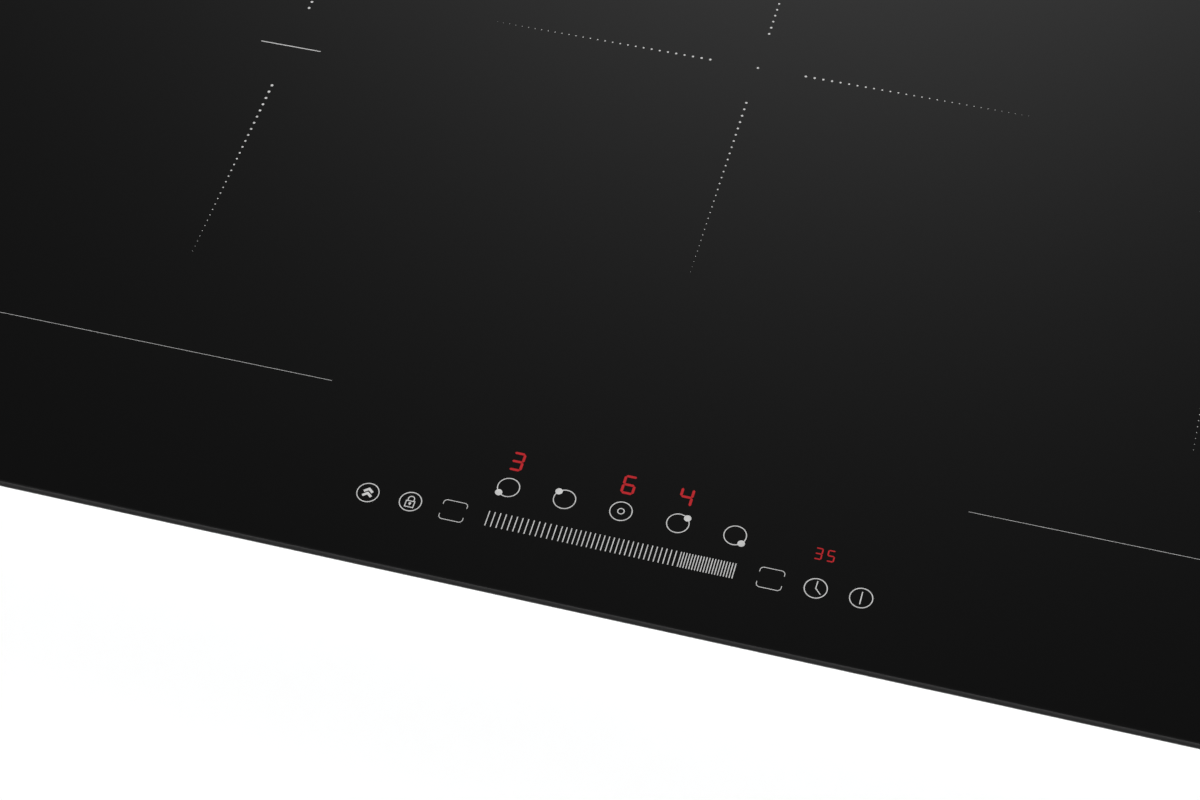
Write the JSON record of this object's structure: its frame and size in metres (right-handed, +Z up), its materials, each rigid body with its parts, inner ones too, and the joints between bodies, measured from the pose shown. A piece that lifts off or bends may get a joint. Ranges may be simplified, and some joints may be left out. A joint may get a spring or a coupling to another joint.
{
  "type": "built-in induction cooktop",
  "caption": "Frameless black glass induction cooktop with a touch slider, coil zones, a stepped steel tray with blowers, swivelling worktop clamps and a terminal box.",
  "frame": {"origin": "middle of the tray's underside, under the middle of the glass", "axes": "+Z up through the glass, +X to the cook's right, the control panel is at -Y"},
  "size_m": [0.77, 0.52, 0.056],
  "materials": {
    "black_glass": "polished black glass ceramic",
    "seal_foam": "closed-cell foam",
    "silicone": "matt silicone",
    "galvanised_steel": "galvanised sheet",
    "zinc_screw": "zinc plated",
    "grey_nylon": "moulded nylon",
    "ferrite": "sintered ferrite",
    "mica": "pressed mica",
    "lead_sleeve": "glass-fibre sleeve",
    "black_epoxy": "moulded epoxy",
    "capacitor_case": "film capacitor case",
    "copper": "enamelled copper wire",
    "circuit_board": "solder-masked fibreglass",
    "black_plastic": "moulded, fine grain",
    "pale_plastic": "moulded",
    "brass": "plated",
    "conductive_foam": "conductive foam",
    "display_block": "smoked display window",
    "former_plastic": "heat-resistant moulding",
    "aluminium": "mill finish"
  },
  "bodies": {
    "hob": {"glass_top": "black_glass", "worktop_seal": "seal_foam", "bond_bead": "silicone", "glass_frame": "galvanised_steel", "base_tray": "galvanised_steel", "plate_posts": "grey_nylon", "ferrite_bars": "ferrite", "insulation_sheets": "mica", "temperature_sensors": "silicone", "coil_leads": "lead_sleeve", "power_transistors": "black_epoxy", "capacitors": "capacitor_case", "chokes": "copper", "filter_board": "circuit_board", "board_standoffs": "grey_nylon", "terminal_box": "black_plastic", "terminal_block": "pale_plastic", "terminal_screws": "brass", "cable_gland": "black_plastic", "gland_nut": "black_plastic", "clamp_bolts": "zinc_screw", "clamp_nuts": "zinc_screw", "control_carrier": "grey_nylon", "control_board": "circuit_board", "touch_pads": "conductive_foam", "digit_displays": "display_block", "left_front_coil_former": "former_plastic", "left_front_winding": "copper", "left_rear_coil_former": "former_plastic", "left_rear_winding": "copper", "centre_coil_former": "former_plastic", "centre_winding": "copper", "right_rear_coil_former": "former_plastic", "right_rear_winding": "copper", "right_front_coil_former": "former_plastic", "right_front_winding": "copper", "left_coil_plate": "aluminium", "centre_coil_plate": "aluminium", "right_coil_plate": "aluminium", "left_fan_grille": "black_plastic", "left_fan_housing": "black_plastic", "left_fan_motor": "zinc_screw", "left_power_board": "circuit_board", "left_heat_sink": "aluminium", "right_fan_grille": "black_plastic", "right_fan_housing": "black_plastic", "right_fan_motor": "zinc_screw", "right_power_board": "circuit_board", "right_heat_sink": "aluminium"},
    "left_fan": {"left_fan_wheel": "black_plastic"},
    "right_fan": {"right_fan_wheel": "black_plastic"},
    "front_left_clamp": {"front_left_clamp": "galvanised_steel"},
    "front_right_clamp": {"front_right_clamp": "galvanised_steel"},
    "rear_left_clamp": {"rear_left_clamp": "galvanised_steel"},
    "rear_right_clamp": {"rear_right_clamp": "galvanised_steel"},
    "terminal_lid": {"terminal_cover": "black_plastic"}
  },
  "joints": [
    {"name": "left_fan_spin", "type": "hinge", "parent": "hob", "child": "left_fan", "pos_m": [-0.2083, 0.108, 0.016], "axis": [0, 0, 1], "continuous": true},
    {"name": "right_fan_spin", "type": "hinge", "parent": "hob", "child": "right_fan", "pos_m": [0.2223, 0.108, 0.016], "axis": [0, 0, 1], "continuous": true},
    {"name": "front_left_clamp_swing", "type": "hinge", "parent": "hob", "child": "front_left_clamp", "pos_m": [-0.22, -0.2275, 0.0178], "axis": [0, 0, -1], "range_deg": [0, 90]},
    {"name": "front_right_clamp_swing", "type": "hinge", "parent": "hob", "child": "front_right_clamp", "pos_m": [0.22, -0.2275, 0.0178], "axis": [0, 0, 1], "range_deg": [0, 90]},
    {"name": "rear_left_clamp_swing", "type": "hinge", "parent": "hob", "child": "rear_left_clamp", "pos_m": [-0.22, 0.2275, 0.0178], "axis": [0, 0, 1], "range_deg": [0, 90]},
    {"name": "rear_right_clamp_swing", "type": "hinge", "parent": "hob", "child": "rear_right_clamp", "pos_m": [0.22, 0.2275, 0.0178], "axis": [0, 0, -1], "range_deg": [0, 90]},
    {"name": "terminal_lid_hinge", "type": "hinge", "parent": "hob", "child": "terminal_lid", "pos_m": [0, 0.1607, 0.0027], "axis": [-1, 0, 0], "range_deg": [0, 90]}
  ]
}
